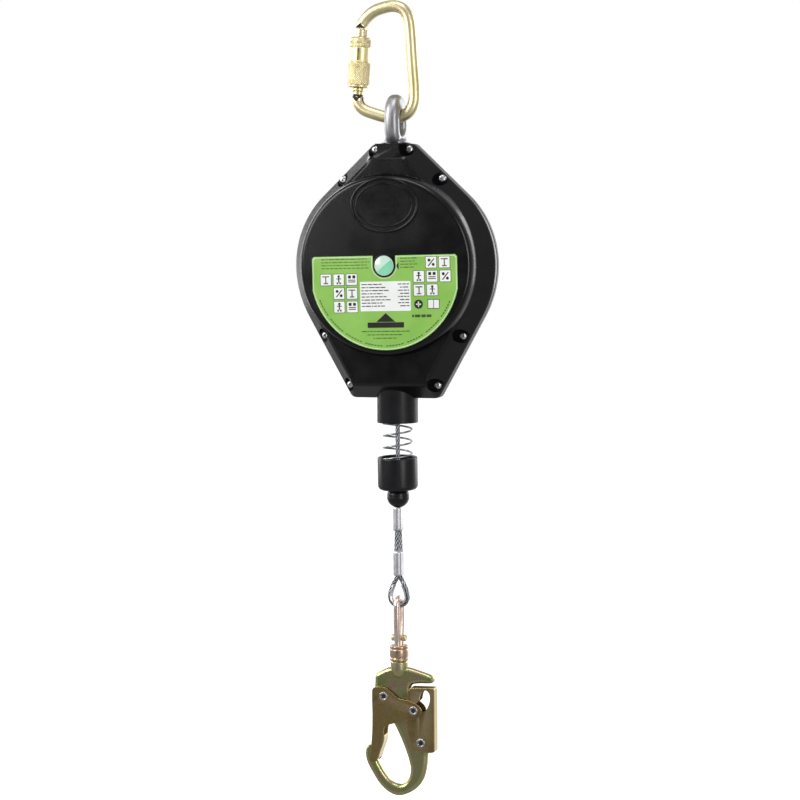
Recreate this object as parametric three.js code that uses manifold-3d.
// Self retracting lifeline (fall arrest block) with a 9 m wire rope, an anchor
// carabiner at the top and a swivelling double-action snap hook at the bottom.
// Millimetres, +X right, -Y front, +Z up. The origin is the inner top of the carabiner,
// the point that an anchor carries.
import * as THREE from "three";
import { mergeVertices } from "three/addons/utils/BufferGeometryUtils.js";
import { ConvexGeometry } from "three/addons/geometries/ConvexGeometry.js";
import Module from "manifold-3d";

const wasm = await Module();
wasm.setup();

// ---- Driving dimensions ----
const GAP = 0.3; // running gap between pieces that touch

const BAR_R = 5.8; // carabiner bar
const GATE_PIVOT = [-39, -83.5]; // x, z
const GATE_LEAN = THREE.MathUtils.degToRad(3.5);

const BAR_TOP_Z = -98; // top of the carabiner's lower bar under the eye
const EYE_T = 15; // eye thickness along X
const NECK_R = 12.2;
const SHANK_R = 7;

const DRUM_Z = -249; // drum axis height
const HALF_DEPTH = 41;
const SEAM = 1.2; // half of the seam between the shells
const WALL = 3;
const LOWER_R = 103.5; // lower outline circle
const UPPER_R = 95; // upper outline arcs
const UPPER_DX = 8.5; // their centres, either side
const TOP_EDGE = 119.5; // above the drum axis
const BOTTOM_EDGE = -132;
const UPPER_ANGLE = 46.3; // normal of the upper straight edge, degrees above X
const LOWER_ANGLE = -29.1;
const PLATEAU_R = 84.6;
const SCREWS = [
  [-17.3, 113.5],
  [17.3, 113.5],
  [-50.7, 84.5],
  [50.7, 84.5],
  [-71, -69.6],
  [71, -69.6],
  [-44.8, -118.4],
  [44.8, -118.4],
]; // x, height above the drum axis
const SCREW_FLOOR = -9.7; // floor of the screw pockets
const POCKET_R = 7;

const ROPE_R = 2.4; // 4.8 mm wire rope
const HUB_R = 42.4;
const WOUND_R = 72.5; // outer radius of the wound rope
const FLANGE_R = 75;
const SHAFT_R = 8;
const TEETH = 12;

const OUTLET_R = 20.5;
const OUTLET_BOTTOM = -406;
const CUP_R = 20;
const CUP_TOP = -440.4;
const CUP_BOTTOM = -473;
const BALL_R = 11.25;
const BALL_Z = -480;
const LOOP_Z = -581; // centre of the rope eye's lower arc
const LOOP_R = 9.1;
const LINK_HALF = 7.4; // half the spacing of the link's legs
const LINK_R = 3.2;
const LINK_Z = -590.3; // centre of the link's arch
const BARREL_R = 9.35;

const HOOK_T = 9.2; // forged body thickness
const PIVOT_A = [-14.2, -681.1]; // gate pivot
const PIN_B = [17, -694.2]; // drive pin in the gate
const PIVOT_C = [24, -727]; // lever pivot
const GATE_OPEN = 18; // degrees
const LEVER_RATIO = 0.5;

// ---- Materials ----
function finish(color, roughness, metalness) {
  return new THREE.MeshStandardMaterial({ color, roughness, metalness });
}
const zinc = finish(0xd8cc96, 0.3, 1);
const castSteel = finish(0xc4c4c6, 0.35, 1);
const shellBlack = finish(0x17181a, 0.12, 0);
const rubberBlack = finish(0x141414, 0.6, 0);
const greenLabel = finish(0x8fc06c, 0.35, 0);
const steel = finish(0xb4b8bc, 0.3, 1);
const ropeSteel = finish(0xa9acb0, 0.4, 1);
const springSteel = finish(0x9aa0a6, 0.3, 1);
const bronze = finish(0xb8894e, 0.4, 1);
const copperZinc = finish(0xd9a98c, 0.3, 1);
const oliveZinc = finish(0xa99a62, 0.35, 1);
const nylon = finish(0xe6e2d6, 0.5, 0);
const friction = finish(0x4a4038, 0.9, 0);

// ---- Solids from three.js geometry ----
function closed(geometry) {
  const loose = geometry.index ? geometry.toNonIndexed() : geometry;
  const bare = new THREE.BufferGeometry();
  bare.setAttribute("position", loose.getAttribute("position").clone());
  const merged = mergeVertices(bare, 1e-4);
  const from = merged.index.array;
  const kept = [];
  for (let i = 0; i < from.length; i += 3) {
    const [a, b, c] = [from[i], from[i + 1], from[i + 2]];
    if (a !== b && b !== c && a !== c) kept.push(a, b, c);
  }
  if (volume(merged.attributes.position, kept) < 0) kept.reverse();
  merged.setIndex(kept);
  return merged;
}

function volume(position, index) {
  const [a, b, c] = [0, 1, 2].map(() => new THREE.Vector3());
  let sum = 0;
  for (let i = 0; i < index.length; i += 3) {
    a.fromBufferAttribute(position, index[i]);
    b.fromBufferAttribute(position, index[i + 1]);
    c.fromBufferAttribute(position, index[i + 2]);
    sum += a.dot(b.cross(c));
  }
  return sum / 6;
}

function solid(geometry) {
  const g = closed(geometry);
  return new wasm.Manifold(
    new wasm.Mesh({
      numProp: 3,
      vertProperties: new Float32Array(g.attributes.position.array),
      triVerts: new Uint32Array(g.index.array),
    }),
  );
}

function geometryOf(made) {
  const mesh = made.getMesh();
  const g = new THREE.BufferGeometry();
  g.setAttribute(
    "position",
    new THREE.BufferAttribute(new Float32Array(mesh.vertProperties), 3),
  );
  g.setIndex(new THREE.BufferAttribute(new Uint32Array(mesh.triVerts), 1));
  return g;
}

function join(...solids) {
  return solids.reduce((a, b) => a.add(b));
}

function cut(from, ...tools) {
  return tools.reduce((a, b) => a.subtract(b), from);
}

// Profile points are [radius, height]; the axis is Z.
function turned(profile, segments = 32) {
  const points = profile.map(([r, h]) => new THREE.Vector2(r, h));
  const ends = [points[0], points[points.length - 1]];
  if (ends.some((p) => p.x > 1e-6)) points.push(points[0].clone());
  const g = new THREE.LatheGeometry(points, segments);
  g.rotateX(Math.PI / 2);
  return g;
}

// The same with the axis along Y, at [x, z]; heights are y.
function turnedY(profile, [x, z] = [0, 0], segments = 32) {
  const g = turned(profile, segments);
  g.rotateX(-Math.PI / 2);
  g.translate(x, 0, z);
  return g;
}

function rod(radius, from, to, [x, z] = [0, 0], segments = 24) {
  return turnedY([[0, from], [radius, from], [radius, to], [0, to]], [x, z], segments);
}

function rodZ(radius, from, to, [x, y] = [0, 0], segments = 32) {
  const g = turned([[0, from], [radius, from], [radius, to], [0, to]], segments);
  g.translate(x, y, 0);
  return g;
}

function box(x0, x1, y0, y1, z0, z1) {
  const g = new THREE.BoxGeometry(x1 - x0, y1 - y0, z1 - z0);
  g.translate((x0 + x1) / 2, (y0 + y1) / 2, (z0 + z1) / 2);
  return g;
}

function shapeOf(points, holes = []) {
  const vectors = points.map(([x, z]) => new THREE.Vector2(x, z));
  if (THREE.ShapeUtils.isClockWise(vectors)) vectors.reverse();
  const shape = new THREE.Shape(vectors);
  for (const hole of holes) {
    shape.holes.push(new THREE.Path(hole.map(([x, z]) => new THREE.Vector2(x, z))));
  }
  return shape;
}

// A flat piece drawn in X and Z, between two depths, with rounded edges if asked.
function plate(points, y0, y1, holes = [], round = 0, steps = 2) {
  const g = new THREE.ExtrudeGeometry(shapeOf(points, holes), {
    depth: y1 - y0 - 2 * round,
    bevelEnabled: round > 0,
    bevelThickness: round,
    bevelSize: round,
    bevelOffset: -round,
    bevelSegments: steps,
  });
  g.translate(0, 0, round);
  g.rotateX(Math.PI / 2);
  g.translate(0, y1, 0);
  return g;
}

function circle(radius, count, [x, z] = [0, 0], squash = 1) {
  return Array.from({ length: count }, (_, i) => {
    const a = (2 * Math.PI * i) / count;
    return [x + radius * Math.cos(a), z + radius * squash * Math.sin(a)];
  });
}

function curveThrough(points, tension = 0.5) {
  const vectors = points.map((p) => new THREE.Vector3(...p));
  return new THREE.CatmullRomCurve3(vectors, false, "centripetal", tension);
}

function tube(curve, radius, steps, sides) {
  const section = new THREE.Shape(
    circle(radius, sides).map(([a, b]) => new THREE.Vector2(a, b)),
  );
  return new THREE.ExtrudeGeometry(section, { steps, extrudePath: curve });
}

const root = new THREE.Group();

function place(name, shape, material, parent = root) {
  const geometry = shape instanceof THREE.BufferGeometry ? closed(shape) : geometryOf(shape);
  geometry.computeVertexNormals();
  const mesh = new THREE.Mesh(geometry, material);
  mesh.name = name;
  parent.add(mesh);
  return mesh;
}

// ---- Carabiner ----
const BAR_LINE = [
  [-33.4, -10.2],
  [-29.3, -4.9],
  [-21.4, 1.2],
  [-11, 4.7],
  [-0.8, BAR_R],
  [7.3, 3.2],
  [12.2, -2.4],
  [14.6, -9.2],
  [15.5, -16],
  [16.2, -35.6],
  [18.3, -55.6],
  [19.7, -77.6],
  [18.6, -90.2],
  [13.6, -98.4],
  [5, -102.9],
  [-2, BAR_TOP_Z - BAR_R],
  [-11, -102.6],
  [-23.5, -98.9],
  [-31.5, -95.4],
  [-37, -91.2],
];

function gateFrame(g) {
  g.rotateY(GATE_LEAN);
  g.translate(GATE_PIVOT[0], 0, GATE_PIVOT[1]);
  return g;
}

function carabinerFrame() {
  const line = curveThrough(BAR_LINE.map(([x, z]) => [x, 0, z]));
  const bar = solid(tube(line, BAR_R, 30, 8));
  const nose = solid(gateFrame(rodZ(BAR_R, 69, 75.5, [0, 0], 12)));
  const blade = solid(gateFrame(box(-4.6, 4.6, -1.8, 1.8, 61.8, 72)));
  const tongue = solid(
    gateFrame(plate([[-4.6, -10], [4.6, -10], [4.6, 0], [3.2, 3.4], [0, 4.8], [-3.2, 3.4], [-4.6, 0]], -2.4, 2.4)),
  );
  const forkRoom = solid(rod(6.6, -8, 8, GATE_PIVOT, 24));
  const hole = solid(rod(2.3, -8, 8, GATE_PIVOT, 16));
  return cut(join(cut(bar, forkRoom), nose, blade, tongue), hole);
}

function gateBody() {
  const core = solid(turned([[0, 8], [5.3, 8], [5.3, 60.2], [BAR_R, 60.2], [BAR_R, 67], [4.9, 68], [0, 68]], 16));
  const cheeks = solid(
    plate([[-5.6, 9.6], [-5.6, 0], [-4, -4], [0, -5.6], [4, -4], [5.6, 0], [5.6, 9.6]], -5.6, 5.6),
  );
  const slotLow = solid(box(-7, 7, -2.8, 2.8, -8, 5.6));
  const slotTop = solid(box(-7, 7, -2.2, 2.2, 60.6, 70));
  const made = cut(join(core, cheeks), slotLow, slotTop, solid(rod(2.3, -8, 8, [0, 0], 16)));
  return gateFrame(geometryOf(made));
}

function lockingSleeve() {
  const inner = 5.7;
  const profile = [
    [inner, 10.4],
    [9.8, 10.4],
    [10.6, 11.4],
    [10.6, 35.6],
    [9.9, 36.4],
    [9.9, 58.6],
    [8.9, 59.6],
    [inner, 59.6],
  ];
  const body = solid(turned(profile, 16));
  const ribs = [];
  for (let i = 0; i < 8; i++) {
    const a = (2 * Math.PI * i) / 8;
    const rib = box(9.8, 11, -1, 1, 13, 34);
    rib.rotateZ(a);
    ribs.push(solid(rib));
  }
  const slit = solid(box(-1, 1, -11, -9.2, 38.5, 48.5));
  return gateFrame(geometryOf(cut(join(body, ...ribs), slit)));
}

function rivetY(radius, head, headTop, headBase, [x, z], segments = 10) {
  const profile = [
    [0, -headTop],
    [head * 0.8, -headTop],
    [head, -headTop + 0.7],
    [head, -headBase],
    [radius, -headBase],
    [radius, headBase],
    [head, headBase],
    [head, headTop - 0.7],
    [head * 0.75, headTop],
    [0, headTop],
  ];
  return turnedY(profile, [x, z], segments);
}

place("carabiner_frame", carabinerFrame(), zinc);
place("carabiner_gate_pin", rivetY(1.9, 3.3, 7.4, 5.9, GATE_PIVOT, 10), zinc);
place("carabiner_gate", gateBody(), zinc);
place("locking_sleeve", lockingSleeve(), zinc);

// ---- Suspension eye ----
function eye() {
  const top = BAR_TOP_Z + GAP + 1.1; // clear of the bar's curve across the eye
  const outer = [];
  for (let i = 0; i <= 12; i++) {
    const a = (Math.PI * i) / 12;
    outer.push([19.3 * Math.cos(a), top - 10 + 26 * Math.sin(a)]);
  }
  outer.push([-18.8, top - 18], [-15.6, top - 29], [-12, top - 32.4]);
  outer.push([12, top - 32.4], [15.6, top - 29], [18.8, top - 18]);
  const hole = [];
  for (let i = 0; i <= 6; i++) {
    const a = (Math.PI * i) / 6;
    hole.push([9 * Math.cos(a), top - 9 + 9 * Math.sin(a)]);
  }
  for (let i = 0; i <= 6; i++) {
    const a = Math.PI + (Math.PI * i) / 6;
    hole.push([9 * Math.cos(a), top - 15 + 9 * Math.sin(a)]);
  }
  const ring = plate(outer, -EYE_T / 2, EYE_T / 2, [hole], 3.6, 2);
  ring.rotateZ(Math.PI / 2);
  const neck = turned(
    [
      [0, -171.6],
      [SHANK_R - 1, -171.6],
      [SHANK_R, -170.6],
      [SHANK_R, -142],
      [NECK_R, -140],
      [NECK_R, -127.5],
      [10.5, -124.5],
      [0, -122.6],
    ],
    24,
  );
  return join(solid(ring), solid(neck));
}

function hexNut(across, bore, z0, z1) {
  const g = new THREE.CylinderGeometry(across / 1.732, across / 1.732, z1 - z0, 6);
  g.rotateX(Math.PI / 2);
  g.translate(0, 0, (z0 + z1) / 2);
  return cut(solid(g), solid(rodZ(bore, z0 - 1, z1 + 1, [0, 0], 24)));
}

place("suspension_eye", eye(), castSteel);
place("eye_nut", hexNut(22, SHANK_R + GAP, DRUM_Z + 77.2, DRUM_Z + 85.6), steel);

// ---- Housing outline ----
// Convex outline of the shells, moved inwards by a distance.
function outline(inset) {
  const half = [];
  const arc = (cx, cz, r, from, to, steps) => {
    for (let i = 0; i <= steps; i++) {
      const a = THREE.MathUtils.degToRad(from + ((to - from) * i) / steps);
      half.push([cx + r * Math.cos(a), cz + r * Math.sin(a)]);
    }
  };
  const corner = (edge, angle, reach, radius) => {
    const r = Math.max(radius - inset, 1.5);
    const a = THREE.MathUtils.degToRad(angle);
    const z = edge - Math.sign(edge) * (inset + r);
    return [(reach - inset - r - z * Math.sin(a)) / Math.cos(a), z, r];
  };
  const up = THREE.MathUtils.degToRad(UPPER_ANGLE);
  const topCorner = corner(TOP_EDGE, UPPER_ANGLE, UPPER_R + UPPER_DX * Math.cos(up), 8);
  const lowCorner = corner(BOTTOM_EDGE, LOWER_ANGLE, LOWER_R, 7);
  arc(...topCorner, 90, UPPER_ANGLE, 2);
  arc(UPPER_DX, 0, UPPER_R - inset, UPPER_ANGLE, 0, 4);
  arc(0, 0, LOWER_R - inset, 0, LOWER_ANGLE, 3);
  arc(...lowCorner, LOWER_ANGLE, -90, 2);
  const apart = half.filter(
    ([x, z], i) => i === 0 || Math.hypot(x - half[i - 1][0], z - half[i - 1][1]) > 0.05,
  );
  return [...apart, ...apart.map(([x, z]) => [-x, z]).reverse()];
}

// Convex body through outlines given as [inset, y].
function loft(layers) {
  const points = layers.flatMap(([inset, y]) =>
    outline(inset).map(([x, z]) => new THREE.Vector3(x, y, z + DRUM_Z)),
  );
  return new ConvexGeometry(points);
}

const AXIS = [0, DRUM_Z];

function halfShell(side) {
  const at = (layers) => layers.map(([inset, y]) => [inset, side * y]);
  const ring = (profile, segments) => turnedY(at(profile), AXIS, segments);
  const outer = join(
    solid(loft(at([[0, SEAM], [0, 2.6], [13, 27.5], [16, 30]]))),
    solid(
      ring([[0, 12], [91.5, 14], [89, 34], [87.4, 38.8], [PLATEAU_R, HALF_DEPTH], [0, HALF_DEPTH]], 36),
    ),
  );
  const room = join(
    solid(loft(at([[WALL + 0.2, -1], [WALL + 0.4, 3], [17, 26]]))),
    solid(ring([[0, 8], [88, 14], [85.5, 34], [82, HALF_DEPTH - WALL], [0, HALF_DEPTH - WALL]], 24)),
  );
  return { outer, room };
}

function screwPoints() {
  return SCREWS.map(([x, h]) => [x, DRUM_Z + h]);
}

function ellipseRing(a, b, width, y0, y1, z, count) {
  return plate(
    circle(a, count, [0, z], b / a),
    y0,
    y1,
    [circle(a - width, count, [0, z], (b - width) / (a - width))],
  );
}

function frontShell() {
  const { outer, room } = halfShell(-1);
  const posts = screwPoints().map((p) => solid(rod(POCKET_R + 2.2, -44, 4, p, 8)));
  let shell = cut(outer, cut(room, ...posts));
  shell = cut(shell, ...screwPoints().map((p) => solid(rod(POCKET_R, -60, SCREW_FLOOR, p, 10))));
  shell = cut(shell, ...screwPoints().map((p) => solid(rod(2.3, -60, 5, p, 6))));
  const badge = DRUM_Z + 57;
  shell = join(
    shell,
    solid(ellipseRing(35, 25.5, 3, -HALF_DEPTH - 1.2, -HALF_DEPTH + 1, badge, 24)),
  );
  return cutEnds(shell);
}

function cutEnds(shell) {
  const eyeHole = solid(rodZ(NECK_R + 0.5, -146, -110, [0, 0], 16));
  const outlet = solid(rodZ(OUTLET_R + 0.5, -364.4, -400, [0, 0], 24));
  return cut(shell, eyeHole, outlet);
}

function rearShell() {
  const { outer, room } = halfShell(1);
  const posts = screwPoints().map((p) => solid(rod(6.4, -4, 17, p, 6)));
  const shell = cut(outer, cut(room, ...posts));
  return cutEnds(cut(shell, ...screwPoints().map((p) => solid(rod(2.3, -4, 14, p, 6)))));
}

function housingScrew([x, z]) {
  const body = turnedY(
    [
      [0, SCREW_FLOOR - 3],
      [2.8, SCREW_FLOOR - 3],
      [4, SCREW_FLOOR - 1.6],
      [4, SCREW_FLOOR - GAP],
      [1.9, SCREW_FLOOR - GAP],
      [1.9, 12.8],
      [0, 12.8],
    ],
    [x, z],
    8,
  );
  return cut(solid(body), solid(box(x - 2.6, x + 2.6, -14, SCREW_FLOOR - 2, z - 0.6, z + 0.6)));
}

// One seal round each side, between the eye's neck and the outlet.
function seamGasket(side) {
  const lift = (points) => points.map(([x, z]) => [x, z + DRUM_Z]);
  const band = plate(lift(outline(0.9)), -SEAM + GAP, SEAM - GAP, [lift(outline(2.7))]);
  const other = side > 0 ? box(-130, 0, -5, 5, -420, -100) : box(0, 130, -5, 5, -420, -100);
  return cut(cutEnds(solid(band)), solid(other));
}

function labelShape() {
  const [centre, radius] = [-6.8, 77.7];
  const start = Math.atan2(-24 - centre, 75.8);
  const points = [];
  for (let i = 0; i <= 30; i++) {
    const a = start + ((-Math.PI - 2 * start) * i) / 30;
    points.push([radius * Math.cos(a), centre + radius * Math.sin(a)]);
  }
  points.push([-75.8, 8], [-74, 10], [-11.7, 10]);
  for (let i = 0; i <= 12; i++) {
    const a = Math.PI + (Math.PI * i) / 12;
    points.push([11.7 * Math.cos(a), 11.7 * Math.sin(a)]);
  }
  points.push([11.7, 10], [74, 10], [75.8, 8]);
  return points.map(([x, z]) => [x, z + DRUM_Z]);
}

const FACE = -HALF_DEPTH - GAP;
place("front_shell", frontShell(), shellBlack);
place("rear_shell", rearShell(), shellBlack);
place("seam_gasket_left", seamGasket(-1), rubberBlack);
place("seam_gasket_right", seamGasket(1), rubberBlack);
screwPoints().forEach((p, i) => place(`housing_screw_${i + 1}`, housingScrew(p), steel));
place("rating_label", plate(labelShape(), FACE - 0.5, FACE), greenLabel);
place(
  "window_bezel",
  turnedY([[10.1, FACE], [11.25, FACE], [11.25, FACE - 1.5], [10.1, FACE - 1.5]], AXIS, 24),
  rubberBlack,
);
place(
  "window_lens",
  turnedY([[0, FACE], [9.8, FACE], [9.8, FACE - 1.2], [0, FACE - 1.2]], AXIS, 24),
  nylon,
);

// ---- Load frame ----
const CROSS_LOW = DRUM_Z + 86;
const CROSS_TOP = DRUM_Z + 100.5;

function framePlate(y0, y1, hole) {
  const shape = [
    [-17, 100.5],
    [17, 100.5],
    [24, 84],
    [30, 40],
    [34, 0],
    [30, -50],
    [34, -94],
    [-34, -94],
    [-30, -50],
    [-34, 0],
    [-30, 40],
    [-24, 84],
  ].map(([x, z]) => [x, z + DRUM_Z]);
  return solid(plate(shape, y0, y1, [circle(hole, 24, AXIS)]));
}

function crosshead() {
  const block = solid(box(-17, 17, -15.2, 15.2, CROSS_LOW, CROSS_TOP));
  return cut(block, solid(rodZ(SHANK_R + GAP, CROSS_LOW - 5, CROSS_TOP + 5, [0, 0], 24)));
}

place("load_frame_front", framePlate(-18.5, -15.5, 20), steel);
place("load_frame_rear", framePlate(15.5, 18.5, 30), steel);
place("swivel_crosshead", crosshead(), steel);
place("frame_spacer_left", rod(5, -15.2, 15.2, [-26, DRUM_Z - 86], 16), steel);
place("frame_spacer_right", rod(5, -15.2, 15.2, [29, DRUM_Z - 87], 16), steel);
place("main_shaft", rod(SHAFT_R, -35.2, 36.8, AXIS, 28), steel);

// ---- Drum and wound rope ----
function drum() {
  const bore = 10.4;
  const profile = [
    [bore, -34.4],
    [18, -34.4],
    [18, -14.4],
    [FLANGE_R, -13],
    [FLANGE_R, -10.6],
    [HUB_R - 0.4, -10],
    [HUB_R - 0.4, 10],
    [FLANGE_R, 10.6],
    [FLANGE_R, 13],
    [28, 14.4],
    [28, 18.7],
    [bore, 18.7],
  ];
  const slot = solid(box(-1.2, 1.2, -35, -20, DRUM_Z + 14, DRUM_Z + 20));
  return cut(solid(turnedY(profile, AXIS, 24)), slot);
}

function woundRope() {
  const profile = [[HUB_R, -9.3], [HUB_R, 9.3]];
  for (let row = 0; row < 4; row++) {
    const mid = 7.1 - row * 4.75;
    for (const [dy, dr] of [[2, 0.9], [0, 0], [-2, 0.9]]) {
      profile.push([WOUND_R - dr, mid + dy]);
    }
  }
  return turnedY(profile, AXIS, 24);
}

place("cable_drum", drum(), nylon);
place("wound_cable", woundRope(), ropeSteel);
place(
  "drum_bushing",
  turnedY([[SHAFT_R + GAP, -34], [10.1, -34], [10.1, 18.4], [SHAFT_R + GAP, 18.4]], AXIS, 20),
  bronze,
);

// ---- Centrifugal brake ----
const PAWL_ARM = 34; // stud radius
function pawlCarrier() {
  const disc = turnedY([[SHAFT_R + 1, 19], [46, 19], [46, 21.5], [SHAFT_R + 1, 21.5]], AXIS, 28);
  const studs = [1, -1].map((s) => solid(rod(3.6, 20, 27.6, [0, DRUM_Z + s * PAWL_ARM], 10)));
  return join(solid(disc), ...studs);
}

function pawl(side) {
  const shape = [
    [-8, -3],
    [-8, 2],
    [-6, 6],
    [0, 7.4],
    [12, 6],
    [25, 5],
    [25, -3],
    [10, -6.5],
    [0, -7.4],
    [-6, -6],
  ];
  const points = shape.map(([x, z]) => [side * x, DRUM_Z + side * (PAWL_ARM + z)]);
  const hole = circle(3.9, 16, [0, DRUM_Z + side * PAWL_ARM]);
  return plate(points, 21.8, 26.8, [hole]);
}

function ratchetRing() {
  const inner = [];
  const pitch = 360 / TEETH;
  for (let k = 0; k < TEETH; k++) {
    for (const [a, r] of [[15, 56], [22, 56], [29.5, 56], [29.5, 49], [33.5, 49]]) {
      const t = THREE.MathUtils.degToRad(pitch * k + a);
      inner.push([r * Math.sin(t), DRUM_Z + r * Math.cos(t)]);
    }
  }
  return plate(circle(70, 36, AXIS), 21.4, 27.2, [inner]);
}

function washer(inner, outer, y0, y1, segments = 20) {
  return turnedY([[inner, y0], [outer, y0], [outer, y1], [inner, y1]], AXIS, segments);
}

function brakeCover() {
  const disc = solid(washer(SHAFT_R + GAP, 77, 30, 33, 32));
  const posts = [30, 150, 270].map((a) => {
    const t = THREE.MathUtils.degToRad(a);
    return solid(rod(2.6, 18.8, 31, [73.6 * Math.cos(t), DRUM_Z + 73.6 * Math.sin(t)], 8));
  });
  return join(disc, ...posts);
}

place("pawl_carrier", pawlCarrier(), steel);
place("pawl_a", pawl(1), steel);
place("pawl_b", pawl(-1), steel);
place("ratchet_ring", ratchetRing(), steel);
place("friction_disc_inner", washer(57.5, 70, 18.9, 21.1), friction);
place("friction_disc_outer", washer(57.5, 70, 27.5, 29.7), friction);
place("brake_cover", brakeCover(), steel);
place("shaft_nut", shaftNut(), steel);

function shaftNut() {
  const g = new THREE.CylinderGeometry(12.5, 12.5, 3.6, 6);
  g.translate(0, 35.3, 0);
  const nut = solid(g.translate(0, 0, DRUM_Z));
  return cut(nut, solid(rod(SHAFT_R + GAP, 30, 40, AXIS, 24)));
}

// ---- Power spring ----
function springCase() {
  const profile = [
    [SHAFT_R + GAP, -37.2],
    [73, -37.2],
    [74, -36.2],
    [74, -19],
    [72.4, -19],
    [72.4, -35.6],
    [SHAFT_R + GAP, -35.6],
  ];
  return turnedY(profile, AXIS, 24);
}

function powerSpring() {
  const [turns, per, thick] = [4, 14, 1.6];
  const count = turns * per;
  const side = (offset) =>
    Array.from({ length: count + 1 }, (_, i) => {
      const a = (2 * Math.PI * i) / per;
      const r = 20 + (50 * i) / count + offset;
      return [r * Math.cos(a), DRUM_Z + r * Math.sin(a)];
    });
  return plate([...side(thick / 2), ...side(-thick / 2).reverse()], -34.4, -20.6);
}

place("power_spring_case", springCase(), steel);
place("power_spring", powerSpring(), springSteel);

// ---- Rope inside the housing, guide and outlet ----
const LEAD_R = WOUND_R + GAP + ROPE_R;
function leadLine() {
  const points = [];
  for (let i = 0; i <= 6; i++) {
    const a = THREE.MathUtils.degToRad(10 + 6.3 * i);
    const t = Math.PI / 2 + a;
    points.push([LEAD_R * Math.sin(t), 0, DRUM_Z + LEAD_R * Math.cos(t)]);
  }
  const [x, , z] = points[6];
  points.push([x * 0.72, 0, z - 12.5], [x * 0.45, 0, z - 24.2], [x * 0.22, 0, z - 34]);
  points.push([x * 0.07, 0, z - 42.5], [0, 0, z - 51], [0, 0, z - 60], [0, 0, -384.2]);
  return curveThrough(points);
}

function cableGuide() {
  const cone = turned(
    [
      [4, -359.2],
      [20, -359.2],
      [20, -340],
      [18, -340],
      [8.5, -347],
      [4, -355],
    ],
    24,
  );
  return solid(cone).intersect(solid(box(-25, 25, -14.8, 14.8, -365, -335)));
}

place("cable_guide", cableGuide(), nylon);
place("lead_cable", tube(leadLine(), ROPE_R, 22, 8), ropeSteel);
place(
  "outlet_sleeve",
  turned(
    [
      [16.2, OUTLET_BOTTOM],
      [16.2, -388],
      [4, -388],
      [4, -382],
      [12, -372],
      [12, -360],
      [23.4, -360],
      [23.4, -364],
      [OUTLET_R, -364],
      [OUTLET_R, OUTLET_BOTTOM + 1.4],
      [OUTLET_R - 1.2, OUTLET_BOTTOM],
    ],
    20,
  ),
  rubberBlack,
);

// ---- Bumper ----
class Coil extends THREE.Curve {
  constructor(radius, from, to, turns) {
    super();
    Object.assign(this, { radius, from, to, turns });
  }
  getPoint(t, out = new THREE.Vector3()) {
    const a = 2 * Math.PI * this.turns * t;
    const z = this.from + (this.to - this.from) * t;
    return out.set(this.radius * Math.cos(a), this.radius * Math.sin(a), z);
  }
}

place("bumper_spring", tube(new Coil(14.2, -389.5, -464, 6.2), 0.95, 62, 4), springSteel);
place(
  "bumper_cup",
  turned(
    [
      [3.4, -465.4],
      [17, -465.4],
      [17, CUP_TOP],
      [CUP_R, CUP_TOP],
      [CUP_R, CUP_BOTTOM + 4],
      [18.8, CUP_BOTTOM + 1.2],
      [16, CUP_BOTTOM],
      [9.4, CUP_BOTTOM],
      [6.6, -470.3],
      [3.4, -468.6],
    ],
    20,
  ),
  rubberBlack,
);

// ---- Rope end ----
function ballStop() {
  const profile = [[2.8, -490.3]];
  for (let i = 0; i <= 8; i++) {
    const a = THREE.MathUtils.degToRad(-65.5 + (141 * i) / 8);
    profile.push([BALL_R * Math.cos(a), BALL_Z + BALL_R * Math.sin(a)]);
  }
  profile.push([2.8, BALL_Z + BALL_R * Math.sin(THREE.MathUtils.degToRad(75.5))]);
  return turned(profile, 16);
}

const LEG = ROPE_R + 0.15; // each leg's distance from the middle of the pair
function ropePair(z, turn, side) {
  return [side * LEG * Math.sin(turn), -side * LEG * Math.cos(turn), z];
}

function loopPoints() {
  const points = [];
  for (let i = 0; i <= 10; i++) {
    const a = Math.PI + (Math.PI * i) / 10;
    points.push([LOOP_R * Math.cos(a), 0, LOOP_Z + LOOP_R * Math.sin(a)]);
  }
  return [[-5.6, 0, -568.6], [-8, 0, -574.4], ...points, [8, 0, -574.4], [5.6, 0, -568.6]];
}

function eyeLine() {
  const twist = [0, 0.2, 0.4, 0.6, 0.8, 1];
  const down = twist.map((t) => ropePair(-514.5 - 20 * t, Math.PI * t, 1));
  const up = twist.map((t) => ropePair(-514.5 - 20 * t, Math.PI * t, -1)).reverse();
  return curveThrough([
    [0, 0, -470.4],
    [0, 0, -486],
    [0, -0.2, -490],
    [0, -2.3, -498.5],
    [0, -LEG, -502],
    [0, -LEG, -509],
    ...down,
    [0, LEG, -548],
    [0, LEG, -558.5],
    [-1.6, LEG - 0.4, -562.4],
    ...loopPoints(),
    [1.6, -LEG + 0.4, -562.4],
    [0, -LEG, -558.5],
    [0, -LEG, -548],
    ...up,
    [0, LEG, -509],
    [0, LEG, -501],
  ]);
}

function stadium(halfX, halfY, count = 8) {
  const points = [];
  const reach = halfY - halfX;
  for (const [side, from] of [[1, 0], [-1, Math.PI]]) {
    for (let i = 0; i <= count; i++) {
      const a = from + (Math.PI * i) / count;
      points.push([halfX * Math.cos(a), side * reach + halfX * Math.sin(a)]);
    }
  }
  return points;
}

function ferrule(z0, z1) {
  const g = new THREE.ExtrudeGeometry(shapeOf(stadium(4.7, 7.3)), {
    depth: z1 - z0 - 1.4,
    bevelThickness: 0.7,
    bevelSize: 0.7,
    bevelOffset: -0.7,
    bevelSegments: 1,
  });
  g.translate(0, 0, z0 + 0.7);
  return cut(solid(g), solid(tube(eyeLine(), ROPE_R + 0.55, 44, 6)));
}

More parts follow.
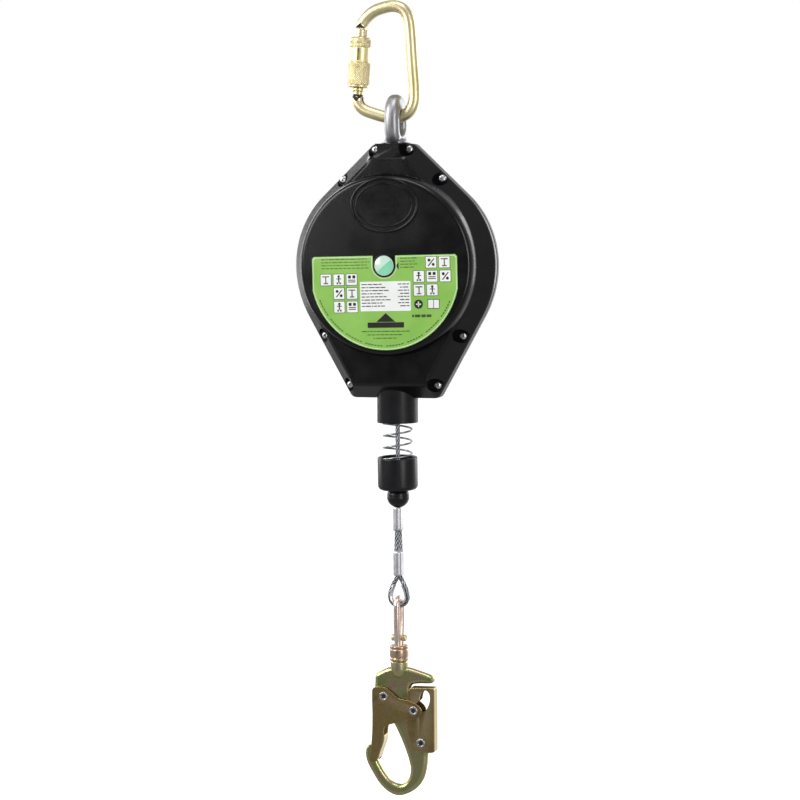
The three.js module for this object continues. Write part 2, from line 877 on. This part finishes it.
function thimble() {
  const loop = curveThrough(loopPoints());
  const long = curveThrough([[-1.6, LEG - 0.4, -562.4], ...loopPoints(), [1.6, -LEG + 0.4, -562.4]]);
  const skin = cut(solid(tube(loop, ROPE_R + 1.25, 16, 6)), solid(tube(long, ROPE_R + 0.4, 18, 6)));
  const inside = loopPoints().map(([x, , z]) => [x, z]);
  return skin.intersect(solid(plate(inside, -6, 6)));
}

place("tail_cable", tube(curveThrough([[0, 0, -385], [0, 0, -420], [0, 0, -469.6]]), ROPE_R, 14, 8), ropeSteel);
place("ball_stop", ballStop(), rubberBlack);
place("rope_eye", tube(eyeLine(), ROPE_R, 60, 8), ropeSteel);
place("ferrule_upper", ferrule(-514, -490.6), steel);
place("ferrule_lower", ferrule(-559.4, -535), steel);
place("thimble", thimble(), steel);

// ---- Swivel link ----
function linkLine() {
  const half = [
    [-5.2, -641],
    [-5.2, -632],
    [-5.4, -624],
    [-6.8, -614],
    [-LINK_HALF, -604],
    [-LINK_HALF, -596],
    [-LINK_HALF, LINK_Z],
  ];
  const arch = [];
  for (let i = 1; i < 8; i++) {
    const a = Math.PI - (Math.PI * i) / 8;
    arch.push([LINK_HALF * Math.cos(a), LINK_Z + LINK_HALF * Math.sin(a)]);
  }
  const other = half.map(([y, z]) => [-y, z]).reverse();
  return curveThrough([...half, ...arch, ...other].map(([y, z]) => [0, y, z]));
}

function swivelBarrel() {
  const body = turned(
    [
      [0, -667],
      [4.6, -666.6],
      [6, -665],
      [6, -663],
      [4.2, -663],
      [4.2, -645.7],
      [8.6, -645.7],
      [BARREL_R, -644.8],
      [BARREL_R, -637],
      [8.7, -636],
      [BARREL_R, -635],
      [BARREL_R, -630.8],
      [8.6, -630],
      [0, -630],
    ],
    20,
  );
  return cut(solid(body), solid(tube(linkLine(), LINK_R + GAP + 0.2, 16, 6)));
}

function crossPin() {
  const g = turned([[0, -7.5], [3.3, -7.5], [3.3, -4], [2, -4], [2, 4], [3.3, 4], [3.3, 7.5], [0, 7.5]], 12);
  g.rotateY(Math.PI / 2);
  g.translate(0, 0, -622.5);
  return g;
}

place("swivel_link", tube(linkLine(), LINK_R, 28, 8), copperZinc);
place("link_cross_pin", crossPin(), zinc);
place("swivel_barrel", swivelBarrel(), oliveZinc);

// ---- Snap hook ----
const HOOK_OUTLINE = [
  [-24.3, -660.5],
  [-18, -656],
  [-10.3, -652.8],
  [8.8, -652],
  [21, -655],
  [34.8, -659.8],
  [37, -663.4],
  [34.5, -666.8],
  [21, -667.8],
  [13, -670],
  [12.4, -680],
  [12.6, -691],
  [14.5, -698.5],
  [19.5, -702.5],
  [26, -707.5],
  [30.4, -715],
  [32.4, -725],
  [31.6, -733],
  [29.8, -739],
  [28.8, -750.4],
  [25.8, -762.9],
  [18.8, -773.4],
  [8.8, -780.1],
  [-1.2, -783],
  [-11.2, -780.1],
  [-21.2, -771.5],
  [-28.2, -761],
  [-33.2, -752.3],
  [-35.7, -743.7],
  [-34.9, -736],
  [-32.2, -732.7],
  [-28.8, -734.5],
  [-25.4, -741],
  [-22.4, -748.5],
  [-16.4, -759],
  [-9.8, -767.2],
  [-4, -770.5],
  [3.4, -770.5],
  [8.8, -765.4],
  [11.6, -757],
  [10.3, -747.6],
  [4.8, -731.3],
  [-1, -718],
  [-5.5, -709.5],
  [-9, -702],
  [-14, -694],
  [-20, -691.4],
  [-24.5, -687],
  [-26, -680],
  [-25, -668],
];

function hookBody() {
  const half = HOOK_T / 2;
  const forging = solid(plate(HOOK_OUTLINE, -half, half, [], 2, 1));
  const boss = solid(turned([[0, -662.6], [7.4, -662.6], [8.6, -661.4], [8.6, -647], [7.8, -646.1], [0, -646.1]], 24));
  const bore = solid(rodZ(4.5, -664, -640, [0, 0], 20));
  const headRoom = solid(rodZ(6.5, -668.4, -662.6, [0, 0], 24));
  const holes = [PIVOT_A, PIVOT_C].map((p) => solid(rod(2.5, -9, 9, p, 16)));
  return cut(join(forging, boss), bore, headRoom, ...holes);
}

const GATE_OUTLINE = [
  [-24.7, -672.4],
  [-12.7, -672.4],
  [-6.2, -676.7],
  [0.8, -682.3],
  [4.8, -683.4],
  [14.8, -685.4],
  [22.8, -690.1],
  [25.6, -694.9],
  [22.8, -700.6],
  [14, -704],
  [4.8, -706.9],
  [-7.2, -709.3],
  [-13.2, -712.5],
  [-14.6, -716.9],
  [-15.6, -727.5],
  [-19.8, -738.9],
  [-22.2, -747.4],
  [-26.5, -749.4],
  [-30.7, -748.5],
  [-29.6, -735],
  [-27.4, -720],
  [-26.4, -700],
  [-28.6, -690],
  [-29.2, -683],
  [-28, -676],
];
const WEB = [
  [-22.7, -745.6],
  [-21.2, -745.6],
  [-18.6, -738],
  [-14.9, -727.6],
  [-14.3, -721],
  [-15.8, -721],
  [-16.4, -727.3],
  [-20, -737.4],
];

function hookGate() {
  const holes = [circle(2.5, 16, PIVOT_A), circle(2.5, 16, PIN_B)];
  const cheeks = [[-8.3, -6.8], [6.8, 8.3]].map(([a, b]) => solid(plate(GATE_OUTLINE, a, b, holes)));
  return join(...cheeks, solid(plate(WEB, -7.2, 7.2)));
}

function spin([x, z], [cx, cz], degrees) {
  const a = THREE.MathUtils.degToRad(degrees);
  const [dx, dz] = [x - cx, z - cz];
  return [
    cx + dx * Math.cos(a) - dz * Math.sin(a),
    cz + dx * Math.sin(a) + dz * Math.cos(a),
  ];
}

// The slot follows the drive pin as the gate and the lever turn together.
function slotTools() {
  return [0, 3, 6, 9, 12, 15, 18].map((open) => {
    const pin = spin(PIN_B, PIVOT_A, (open * GATE_OPEN) / 18);
    const seen = spin(pin, PIVOT_C, -open * LEVER_RATIO);
    return solid(rod(2.75, -9, 9, seen, 10));
  });
}

const LEVER_OUTLINE = [
  [9.6, -675.6],
  [12.8, -671.6],
  [38, -671.2],
  [38, -736],
  [33.8, -737],
  [14.8, -736.1],
  [13.4, -733.6],
  [9.6, -715],
  [7.8, -706],
  [8.6, -690],
];

function lockLever() {
  const hole = circle(2.5, 16, PIVOT_C);
  const window = [[24.6, -675], [32.4, -675], [32.4, -692.6], [24.6, -692.6]];
  const cheeks = [[-6.4, -5], [5, 6.4]].map(([a, b]) => solid(plate(LEVER_OUTLINE, a, b, [hole, window])));
  const web = solid(box(36.5, 38, -6.4, 6.4, -736, -671.2));
  return cut(join(...cheeks, web), ...slotTools());
}

place("hook_body", hookBody(), oliveZinc);
place("hook_gate", hookGate(), oliveZinc);
place("lock_lever", lockLever(), oliveZinc);
place("gate_rivet", rivetY(2.2, 4.5, 10.2, 8.6, PIVOT_A), steel);
place("drive_pin", rivetY(2.2, 4.5, 10.2, 8.6, PIN_B), steel);
place("lever_rivet", rivetY(2.2, 4.5, 8.3, 6.7, PIVOT_C), steel);

export default root;
